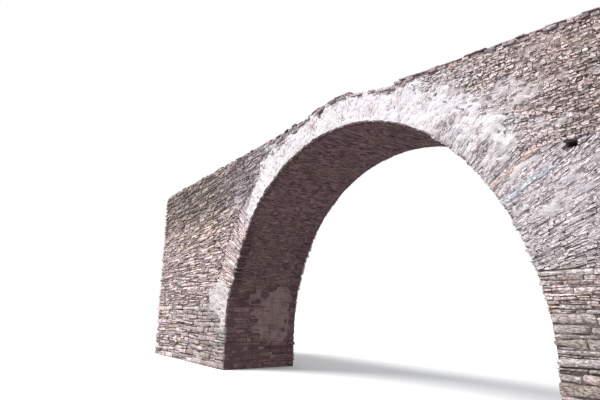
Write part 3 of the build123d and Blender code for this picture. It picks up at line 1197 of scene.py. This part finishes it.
def make_render():
    """Model the ragged sheet of smooth render on the foot of the arch's left inner side."""
    sheet, u, v = add_grid("jamb_render", 70, 64)
    y, z = 0.4 + 2.4 * u, 1.9 + 2.6 * v
    hang = 0.8 * swing(y, z, (0.3, 0.22), 33) + 0.45 * swing(y, z, (0.11, 0.07), 34)
    edges = (y + 0.45, 1.3 - y, z - 0.95, 2.75 + 0.25 * np.sin(3 * y) - z)
    edge = np.min(edges, axis=0) + hang
    edge = np.minimum(edge, FAR_FACE - 0.06 - 0.3 * soft_noise(z, z, (0.2, 0.2), 36) - y)
    skin = 0.025 + 0.03 * swing(y, z, (0.3, 0.13), 35) - 0.015 * smooth(edge, 0.12, 0.0)
    x = [-intrados(height) for height in z] + skin
    sheet.data.vertices.foreach_set("co", np.stack([x, y, z], 1).ravel())
    cut_points(sheet, edge < 0)
    thicken(sheet, RENDER_THICKNESS)
    bpy.ops.object.shade_smooth_by_angle(angle=COAT_SMOOTH_ANGLE)
    return sheet


# Numbers of the mix node's sockets for its factor, its two colours and its result.
MIX_INPUTS, MIX_OUTPUT = (0, 6, 7), 2


class Shader:
    """Adds nodes to one material and links them."""

    def __init__(self, name):
        self.material = bpy.data.materials.new(name)
        self.material.use_nodes = True
        self.tree = self.material.node_tree
        self.tree.nodes.clear()

    def put(self, socket, value):
        """Link a socket to another one, or set its value."""
        if isinstance(value, bpy.types.NodeSocket):
            self.tree.links.new(value, socket)
        elif hasattr(value, "__len__") and len(socket.default_value) == 4 and len(value) == 3:
            socket.default_value = (*value, 1.0)
        else:
            socket.default_value = value

    def node(self, kind, settings=None, **inputs):
        """Add a node, with its settings and its named inputs."""
        made = self.tree.nodes.new(kind)
        for key, value in (settings or {}).items():
            setattr(made, key, value)
        for key, value in inputs.items():
            self.put(made.inputs[key.replace("_", " ")], value)
        return made

    def place(self):
        """Place on the bridge in metres."""
        return self.node("ShaderNodeTexCoord").outputs["Object"]

    def read(self, name, output):
        """One output of an attribute of the piece."""
        return self.node("ShaderNodeAttribute", {"attribute_name": name}).outputs[output]

    def stone_paint(self):
        """The stones' own colour and their share of lime."""
        return self.read("stone_colour", "Color"), self.read("stone_colour", "Alpha")

    def noise(self, vector, scale, detail=4.0, roughness=0.55):
        """Cloudy random values around one half, with one scale or one for each axis."""
        if isinstance(scale, tuple):
            mapped = self.node("ShaderNodeMapping", Vector=vector, Scale=scale)
            vector, scale = mapped.outputs["Vector"], 1.0
        inputs = {"Vector": vector, "Scale": scale, "Detail": detail, "Roughness": roughness}
        return self.node("ShaderNodeTexNoise", **inputs).outputs["Fac"]

    def math(self, how, first, second=None, third=None):
        """Result of one sum."""
        made = self.node("ShaderNodeMath", {"operation": how})
        for number, value in enumerate((first, second, third)):
            if value is not None:
                self.put(made.inputs[number], value)
        return made.outputs[0]

    def line(self, value, factor, offset):
        """A value times a factor, plus an offset."""
        return self.math("MULTIPLY_ADD", value, factor, offset)

    def times(self, *values):
        """Product of values."""
        result = values[0]
        for value in values[1:]:
            result = self.math("MULTIPLY", result, value)
        return result

    def step(self, value, low, high):
        """Rise from 0 at low to 1 at high, or fall where high is the lower one."""
        made = self.node("ShaderNodeMapRange", {"interpolation_type": "SMOOTHSTEP"}, Value=value)
        ends = (low, high, 0.0, 1.0) if low < high else (high, low, 1.0, 0.0)
        for name, end in zip(("From Min", "From Max", "To Min", "To Max"), ends):
            made.inputs[name].default_value = end
        return made.outputs["Result"]

    def mix(self, factor, first, second, how="MIX"):
        """One colour over another by a factor."""
        made = self.node("ShaderNodeMix", {"data_type": "RGBA", "blend_type": how})
        for number, value in zip(MIX_INPUTS, (factor, first, second)):
            self.put(made.inputs[number], value)
        return made.outputs[MIX_OUTPUT]

    def shaded(self, colour_socket, shade):
        """Colour times a grey shade."""
        grey = self.node("ShaderNodeCombineColor", Red=shade, Green=shade, Blue=shade)
        return self.mix(1.0, colour_socket, grey.outputs[0], "MULTIPLY")

    def stained(self, body, cover, share, stain):
        """Colour under a stain that lets some of it through where it covers it."""
        return self.mix(self.math("MULTIPLY", cover, share), body, stain)

    def finish(self, colour_socket, height, distance, roughness=0.9, strength=1.0):
        """Close the material with a rough stone surface that has small heights on it."""
        bump = self.node(
            "ShaderNodeBump", Height=height, Distance=distance, Strength=strength)
        surface = self.node(
            "ShaderNodeBsdfPrincipled", Base_Color=colour_socket, Roughness=roughness,
            Normal=bump.outputs["Normal"])
        surface.inputs["Specular IOR Level"].default_value = 0.25
        output = self.node("ShaderNodeOutputMaterial")
        self.tree.links.new(surface.outputs[0], output.inputs["Surface"])
        return self.material


class Place:
    """Nodes for a place: its turn and reach round the arch, and whether it lies inside it."""

    def __init__(self, shader):
        size = arch()
        self.point = shader.place()
        split = shader.node("ShaderNodeSeparateXYZ", Vector=self.point)
        x, y, z = (split.outputs[name] for name in "XYZ")
        rise = shader.math("SUBTRACT", z, size.centre_height)
        turn = shader.math("ARCTAN2", rise, x)
        above = shader.math("MAXIMUM", rise, 0.0)
        reach = shader.math("SQRT", shader.line(x, x, shader.times(above, above)))
        bent = shader.node(
            "ShaderNodeCombineXYZ", X=shader.times(turn, size.radius), Y=y, Z=reach)
        self.bent = bent.outputs[0]
        out = shader.math("ABSOLUTE", y)
        # Share of a surface that stands out past the face; the lime's white is painted darker
        # where it lies sunk behind it: painted shade in recesses.
        self.low = shader.step(out, HALF_WIDTH - 0.01, HALF_WIDTH + 0.012)
        # What lies just behind a face at the arch's edge counts as inside the opening; the
        # materials paint it in the vault's dark colour, partly the soffit's own damp stone and
        # partly painted shade inside the opening.
        depth = shader.step(out, HALF_WIDTH, HALF_WIDTH - 0.035)
        near_edge = shader.step(reach, size.radius + 0.16, size.radius + 0.1)
        self.inside = shader.times(depth, near_edge)


MATERIALS = {}


def kept(make):
    """Make a material once and return the same one after that."""
    def get(*words):
        key = (make.__name__, *words)
        if key not in MATERIALS:
            MATERIALS[key] = make(*words)
        return MATERIALS[key]
    return get


def lime_colours(shader, place):
    """Old lime: white, with short brown marks along the slabs under it and small pits painted dark
    as the shade in small holes.
    """
    tone = colours()
    marks = shader.noise(place.bent, (26.0, 26.0, 8.0), 5.0, 0.66)
    specks = shader.noise(place.point, 34.0, 5.0, 0.7)
    areas = shader.noise(place.point, 1.5, 3.0, 0.6)
    level = shader.line(areas, 0.6, shader.math("SUBTRACT", marks, 0.3))
    white = shader.mix(shader.step(level, 0.525, 0.665), tone.lime, tone.lime_dirt)
    smudges = shader.step(shader.noise(place.bent, (6.0, 6.0, 2.6), 5.0, 0.6), 0.58, 0.7)
    white = shader.stained(white, smudges, 0.45, tone.lime_dirt)
    # Small pits in a dark dirt colour: painted shade of small holes in the lime.
    pits = shader.step(shader.math("ADD", specks, shader.times(level, 0.5)), 0.88, 0.97)
    return shader.stained(white, pits, 0.8, tuple(c * 0.4 for c in tone.lime_dirt))


@kept
def stone_material(kind):
    """Split schist with its grain along the bed, with lime on it unless it is bare."""
    tone = colours()
    shader = Shader(f"split_stone_{kind}")
    place = Place(shader)
    own, lime = shader.stone_paint()
    grain = shader.read("stone_grain", "Vector")
    layers = shader.noise(grain, (6.0, 38.0, 30.0), 6.0, 0.65)
    cloud = shader.noise(grain, 13.0, 6.0, 0.65)
    grit = shader.noise(place.point, 50.0, 5.0, 0.7)
    # Small facets: one pattern both bumps the surface and paints crevice shade and highlights into
    # its colour.
    facets = (grain, (16.0, 46.0, 30.0))
    if kind == "rubble":
        facets = (place.point, (20.0, 20.0, 38.0))
    facet_bumps_and_painted_shade = shader.step(shader.noise(*facets, 3.0, 0.6), 0.36, 0.62)
    shade = shader.times(
        shader.line(layers, 1.3, 0.33), shader.line(cloud, 1.1, 0.48),
        shader.line(grit, 0.8, 0.62), shader.line(facet_bumps_and_painted_shade, 0.9, 0.52))
    body = shader.shaded(own, shade)
    dust = shader.step(shader.noise(place.point, 8.0, 6.0, 0.7), 0.48, 0.66)
    body = shader.stained(body, dust, 0.35, tone.washed)
    stain = shader.step(shader.noise(place.point, 1.7, 5.0, 0.65), 0.54, 0.7)
    body = shader.stained(body, stain, 0.3, tone.brown)
    if kind != "bare":
        level = shader.line(shader.noise(place.point, 5.0, 6.0, 0.7), 1.5, -0.8)
        cover = shader.step(shader.math("ADD", lime, level), 0.55, 0.85)
        body = shader.mix(cover, body, lime_colours(shader, place))
    # Surfaces that face up are darkened towards the earth colour: painted shade that holds back
    # the sun's light on tops.
    normal = shader.node("ShaderNodeNewGeometry").outputs["Normal"]
    upwards = shader.node("ShaderNodeSeparateXYZ", Vector=normal).outputs["Z"]
    painted_top_shade = 0.45 if kind == "bare" else 0.6
    body = shader.stained(body, shader.step(upwards, 0.5, 0.9), painted_top_shade, tone.earth)
    # Inside the opening the stone takes the vault's dark colour: partly the soffit's damp stone,
    # partly painted shade.
    body = shader.mix(place.inside, body, shader.shaded(tuple(tone.vault), shade))
    height = shader.line(grit, 0.35, shader.line(layers, 0.9, cloud))
    height = shader.line(facet_bumps_and_painted_shade, 0.35, height)
    return shader.finish(body, height, 0.04, shader.line(cloud, 0.2, 0.75))


@kept
def coat_material():
    """What is left of the lime on the faces: white over the arch, in its own colour elsewhere."""
    shader = Shader("old_lime")
    place = Place(shader)
    own, lime = shader.stone_paint()
    streaks = shader.noise(place.bent, (10.0, 10.0, 3.0), 6.0, 0.68)
    grit = shader.noise(place.point, 38.0, 6.0, 0.72)
    shade = shader.times(shader.line(streaks, 1.3, 0.35), shader.line(grit, 0.9, 0.55))
    # Where the white lime is worn off the coat shows its own colour, which carries the painted
    # shade of recesses and of the arch's edge.
    worn = shader.shaded(own, shade)
    # The white is darkened where the lime lies sunk behind the face: painted shade.
    white = shader.shaded(lime_colours(shader, place), shader.step(place.low, -0.6, 1.0))
    body = shader.mix(shader.step(lime, 0.35, 0.7), worn, white)
    # Inside the opening the lime takes the vault's dark colour: painted shade under the arch's
    # edge.
    body = shader.mix(place.inside, body, tuple(colours().vault))
    height = shader.line(grit, 0.8, streaks)
    return shader.finish(body, height, 0.045, shader.line(grit, 0.2, 0.78))


@kept
def render_material():
    """Grey smooth render left on the foot of the arch's inner side."""
    tone = colours()
    shader = Shader("grey_render")
    place = shader.place()
    cloud = shader.noise(place, (3.0, 4.0, 1.4), 6.0, 0.68)
    grit = shader.noise(place, 30.0, 6.0, 0.72)
    body = shader.mix(shader.step(cloud, 0.34, 0.64), tuple(tone.vault), tone.render)
    runs = shader.step(shader.noise(place, (9.0, 16.0, 2.2), 5.0, 0.66), 0.54, 0.7)
    body = shader.stained(body, runs, 0.3, tone.vault_pale)
    body = shader.shaded(body, shader.line(grit, 1.2, 0.4))
    return shader.finish(body, grit, 0.02, shader.line(cloud, 0.2, 0.75))


@kept
def vault_material():
    """Damp dark stone of the vault, with pale runs of lime here and there."""
    tone = colours()
    shader = Shader("vault_stone_finish")
    place = shader.place()
    grain = shader.read("stone_grain", "Vector")
    own = shader.read("stone_colour", "Color")
    layers = shader.noise(grain, (9.0, 30.0, 20.0), 6.0, 0.65)
    cloud = shader.noise(place, 4.0, 6.0, 0.7)
    shade = shader.times(shader.line(layers, 0.6, 0.68), shader.line(cloud, 2.2, -0.1))
    body = shader.shaded(own, shade)
    browned = shader.step(shader.noise(place, 1.3, 5.0, 0.6), 0.46, 0.62)
    body = shader.stained(body, browned, 0.5, tone.vault_brown)
    spots = shader.step(shader.noise(place, 7.0, 6.0, 0.72), 0.58, 0.72)
    body = shader.stained(body, spots, 0.35, tone.vault_pale)
    height = shader.math("ADD", shader.noise(place, 60.0, 4.0), layers)
    return shader.finish(body, height, 0.02, shader.line(cloud, 0.25, 0.7), 0.9)


@kept
def joint_material(name, colour_name, level, dark):
    """Earth or lime between the stones, in a named colour, rough and pitted."""
    tone = colours()
    base = tuple(c * level for c in getattr(tone, colour_name))
    shader = Shader(name)
    place = Place(shader)
    cloud = shader.noise(place.point, 4.0, 5.0, 0.6)
    grit = shader.noise(place.point, 40.0, 6.0, 0.7)
    pits = shader.node("ShaderNodeTexVoronoi", Vector=place.point, Scale=28.0)
    body = shader.mix(shader.step(cloud, 0.35, 0.7), base, tuple(c * dark for c in base))
    body = shader.stained(body, shader.step(grit, 0.5, 0.75), 0.3, tone.mortar)
    # Inside the opening the joints take a darker vault colour: partly the soffit's damp joints,
    # partly painted shade.
    body = shader.mix(place.inside, body, tuple(c * 0.6 for c in tone.vault))
    height = shader.line(pits.outputs["Distance"], 0.6, grit)
    return shader.finish(body, height, 0.03, shader.line(grit, 0.2, 0.78))


# Name, colour, level and darkness of patches of each kind of joint, and the nodes that have it.
FACE_JOINTS = ("face_joints", "joint", 1.0, 0.6)
VAULT_JOINTS = ("vault_joints", "vault", 0.8, 0.7)
EARTH_FILL = ("earth_fill", "earth", 1.0, 0.6)
NODE_FINISHES = {
    "ring_near": FACE_JOINTS, "ring_far": FACE_JOINTS, "spandrel": FACE_JOINTS,
    "approach": FACE_JOINTS, "abutment": FACE_JOINTS, "springing": FACE_JOINTS,
    "vault": VAULT_JOINTS, "core": EARTH_FILL, "paving": EARTH_FILL, "coping": EARTH_FILL,
}


class BRIDGE_OT_joints(bpy.types.Operator):
    """Give the built pieces their joints' colours"""
    bl_idname = "bridge.joints"
    bl_label = "Joints and fill"

    def execute(self, context):
        for name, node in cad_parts.items():
            start = next(key for key in NODE_FINISHES if name.startswith(key))
            for slot in node.material_slots:
                slot.material = joint_material(*NODE_FINISHES[start])
        return {"FINISHED"}


class BRIDGE_OT_rings(bpy.types.Operator):
    """Lay the radial slabs of both rings"""
    bl_idname = "bridge.rings"
    bl_label = "Ring slabs"

    def execute(self, context):
        for face in FACES:
            pile = Pile(SEEDS["rings"] + FACES[face])
            for side in SIDES:
                lay_ring(pile, face, side)
            if face == "near":
                lay_marked_slabs(pile)
            finish_piece(pile.build(f"{face}_ring_slabs"), stone_material("limed"))
        return {"FINISHED"}


GALLETS = {"near": 900, "far": 100}


class BRIDGE_OT_walls(bpy.types.Operator):
    """Lay the blocks, slabs and rubble of both faces"""
    bl_idname = "bridge.walls"
    bl_label = "Wall stones"

    def execute(self, context):
        for face in FACES:
            for side in SIDES:
                pile = Pile(SEEDS["walls"] + 4 * FACES[face] + SIDES[side])
                lay_face(pile, face, side)
                lay_gallets(pile, face, side, GALLETS[face])
                piece = pile.build(f"{face}_wall_stones_{side}")
                finish_piece(piece, stone_material("rubble"))
        return {"FINISHED"}


class BRIDGE_OT_vault(bpy.types.Operator):
    """Lay the vault's courses and the abutments' inner sides"""
    bl_idname = "bridge.vault"
    bl_label = "Vault stones"

    def execute(self, context):
        vault, jambs = Pile(SEEDS["vault"]), Pile(SEEDS["jambs"])
        for side in SIDES:
            lay_vault(vault, side)
            lay_jamb(jambs, side)
        finish_piece(vault.build("vault_stones"), vault_material())
        finish_piece(jambs.build("jamb_blocks"), vault_material())
        finish_piece(make_render(), render_material())
        return {"FINISHED"}


COAT_CELLS = {"near": 0.028, "far": 0.05}


class BRIDGE_OT_lime(bpy.types.Operator):
    """Leave the rest of the old lime on both faces"""
    bl_idname = "bridge.lime"
    bl_label = "Old lime"

    def execute(self, context):
        for face, cell in COAT_CELLS.items():
            finish_piece(make_coat(face, cell), coat_material())
        return {"FINISHED"}


class BRIDGE_OT_ends(bpy.types.Operator):
    """Lay the rough stones of the two cut ends"""
    bl_idname = "bridge.ends"
    bl_label = "End stones"

    def execute(self, context):
        for side in SIDES:
            pile = Pile(SEEDS["ends"] + SIDES[side])
            lay_end(pile, side)
            finish_piece(pile.build(f"end_stones_{side}"), stone_material("bare"))
        return {"FINISHED"}


# Layers of a stretch of coping from its bed up: thickness, lengths and share that is left.
SHORT_COPING, THIN_COPING = (0.1, 0.26), (0.16, 0.42)
PLAIN_LAYERS = ((0.088, SHORT_COPING, 1.0), (0.024, THIN_COPING, 0.93))
CROWN_LAYERS = ((0.07, SHORT_COPING, 1.0), (0.04, SHORT_COPING, 0.95), (0.028, THIN_COPING, 0.75))
WORN_LAYERS = ((0.06, SHORT_COPING, 1.0), (0.03, SHORT_COPING, 0.5))


class BRIDGE_OT_copings(bpy.types.Operator):
    """Lay the coping slabs along both edges of the road"""
    bl_idname = "bridge.copings"
    bl_label = "Copings"

    def execute(self, context):
        crown_ends = {"near": NEAR_CROWN_END, "far": COPING_BREAKS[1]}
        deep, shallow = arch().crown_coping, arch().coping
        for face in FACES:
            pile = Pile(SEEDS["copings"] + FACES[face])
            lay_coping(pile, face, -END_REACH, COPING_BREAKS[0], shallow, PLAIN_LAYERS)
            lay_coping(pile, face, COPING_BREAKS[0], crown_ends[face], deep, CROWN_LAYERS)
            lay_coping(pile, face, crown_ends[face], COPING_BREAKS[1], deep, WORN_LAYERS)
            lay_coping(pile, face, COPING_BREAKS[1], END_REACH, shallow, PLAIN_LAYERS)
            stone = stone_material("bare")
            piece = finish_piece(pile.build(f"{face}_coping_slabs"), stone)
            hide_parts(*(f"coping_{face}_{place}" for place in ("left", "crown", "right")))
        return {"FINISHED"}


class BRIDGE_OT_paving(bpy.types.Operator):
    """Lay the road's paving stones"""
    bl_idname = "bridge.paving"
    bl_label = "Paving"

    def execute(self, context):
        pile = Pile(SEEDS["paving"])
        lay_paving(pile)
        finish_piece(pile.build("paving_stones"), stone_material("bare"))
        return {"FINISHED"}


class BRIDGE_OT_stage(bpy.types.Operator):
    """Set the floor, the light and the camera"""
    bl_idname = "bridge.stage"
    bl_label = "Stage"

    def execute(self, context):
        make_floor()
        make_light()
        make_camera()
        return {"FINISHED"}


FLOOR_SIZE = 600.0
FLOOR_LIGHT = (0.35, 0.35, 0.35)
SKY_COLOUR, SKY_STRENGTH = (0.96, 0.98, 1.0, 1.0), 0.8
SUN_STRENGTH, SUN_SIZE = 3.9, math.radians(25)
SUN_RAYS = (0.3, 0.6, -1.0)
PHOTO_WIDTH = 600
FOCAL_PIXELS = 471.638
CAMERA_PLACE = (9.3005, -8.9838, 2.0016)
CAMERA_PITCH = 0.228385
CAMERA_YAW = -0.952063
CAMERA_ROLL = 0.0217952


def make_floor():
    """Pale level floor that keeps its own light low, so that the vault stays dark."""
    bpy.ops.object.select_all(action="DESELECT")
    bpy.ops.mesh.primitive_plane_add(size=FLOOR_SIZE)
    floor = bpy.context.object
    floor.name = "floor"
    shader = Shader("floor_finish")
    seen = shader.node("ShaderNodeLightPath").outputs["Is Camera Ray"]
    tone = shader.mix(seen, FLOOR_LIGHT, tuple(colours().floor))
    floor.data.materials.append(shader.finish(tone, shader.noise(shader.place(), 2.0), 0.001))
    floor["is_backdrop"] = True


def make_light():
    """Even sky light and one wide soft sun from above the near face."""
    scene = bpy.context.scene
    scene.view_settings.view_transform = "Standard"
    world = bpy.data.worlds.new("studio")
    scene.world = world
    world.use_nodes = True
    nodes, links = world.node_tree.nodes, world.node_tree.links
    nodes.clear()
    choose, output = nodes.new("ShaderNodeMixShader"), nodes.new("ShaderNodeOutputWorld")
    seen = nodes.new("ShaderNodeLightPath").outputs["Is Camera Ray"]
    links.new(seen, choose.inputs["Fac"])
    skies = ((SKY_COLOUR, SKY_STRENGTH), ((1.0, 1.0, 1.0, 1.0), 1.0))
    for number, (sky_colour, strength) in enumerate(skies, 1):
        sky = nodes.new("ShaderNodeBackground")
        sky.inputs["Color"].default_value = sky_colour
        sky.inputs["Strength"].default_value = strength
        links.new(sky.outputs[0], choose.inputs[number])
    links.new(choose.outputs[0], output.inputs["Surface"])
    lamp = bpy.data.lights.new("soft_sun", "SUN")
    lamp.energy = SUN_STRENGTH
    lamp.angle = SUN_SIZE
    sun = bpy.data.objects.new("soft_sun", lamp)
    scene.collection.objects.link(sun)
    sun.rotation_euler = Vector(SUN_RAYS).to_track_quat("-Z", "Y").to_euler()


def make_camera():
    """Camera at the photograph's place and angle."""
    scene = bpy.context.scene
    data = bpy.data.cameras.new("photo_camera")
    data.sensor_width = 36.0
    data.lens = FOCAL_PIXELS / PHOTO_WIDTH * data.sensor_width
    data.clip_end = 1000.0
    camera = bpy.data.objects.new("photo_camera", data)
    scene.collection.objects.link(camera)
    forward = Vector((
        math.sin(CAMERA_YAW) * math.cos(CAMERA_PITCH),
        math.cos(CAMERA_YAW) * math.cos(CAMERA_PITCH),
        math.sin(CAMERA_PITCH),
    ))
    level = Vector((math.cos(CAMERA_YAW), -math.sin(CAMERA_YAW), 0))
    upright = level.cross(forward)
    right = math.cos(CAMERA_ROLL) * level + math.sin(CAMERA_ROLL) * upright
    up = -math.sin(CAMERA_ROLL) * level + math.cos(CAMERA_ROLL) * upright
    turn = Matrix((right, up, -forward)).transposed().to_4x4()
    camera.matrix_world = Matrix.Translation(CAMERA_PLACE) @ turn
    scene.camera = camera


class BRIDGE_PT_masonry(bpy.types.Panel):
    """Buttons that lay the bridge's masonry"""
    bl_idname = "BRIDGE_PT_masonry"
    bl_label = "Bridge masonry"
    bl_space_type = "VIEW_3D"
    bl_region_type = "UI"
    bl_category = "Bridge"

    def draw(self, context):
        for operator in OPERATORS:
            self.layout.operator(operator.bl_idname)


SETTINGS = {
    "bridge_arch": BridgeArch, "bridge_stones": BridgeStones, "bridge_colours": BridgeColours,
}
OPERATORS = (
    BRIDGE_OT_joints, BRIDGE_OT_rings, BRIDGE_OT_walls, BRIDGE_OT_vault, BRIDGE_OT_lime,
    BRIDGE_OT_ends, BRIDGE_OT_copings, BRIDGE_OT_paving, BRIDGE_OT_stage,
)
CLASSES = (*SETTINGS.values(), *OPERATORS, BRIDGE_PT_masonry)


def register():
    """Register the classes and hang the settings on the scene."""
    for item in CLASSES:
        bpy.utils.register_class(item)
    for name, group in SETTINGS.items():
        setattr(bpy.types.Scene, name, bpy.props.PointerProperty(type=group))


def unregister():
    """Undo all that register did."""
    for name in SETTINGS:
        delattr(bpy.types.Scene, name)
    for item in reversed(CLASSES):
        bpy.utils.unregister_class(item)


def main():
    """Register, run each operator once and gather the frame's bounds and the looks' bounds."""
    register()
    bpy.ops.bridge.stage()
    bpy.ops.bridge.joints()
    bpy.ops.bridge.rings()
    bpy.ops.bridge.walls()
    bpy.ops.bridge.vault()
    bpy.ops.bridge.lime()
    bpy.ops.bridge.ends()
    bpy.ops.bridge.copings()
    bpy.ops.bridge.paving()
    [[list(corner) for corner in box] for box in (CAD_BOUNDS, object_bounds())]


if __name__ == "__main__":
    main()
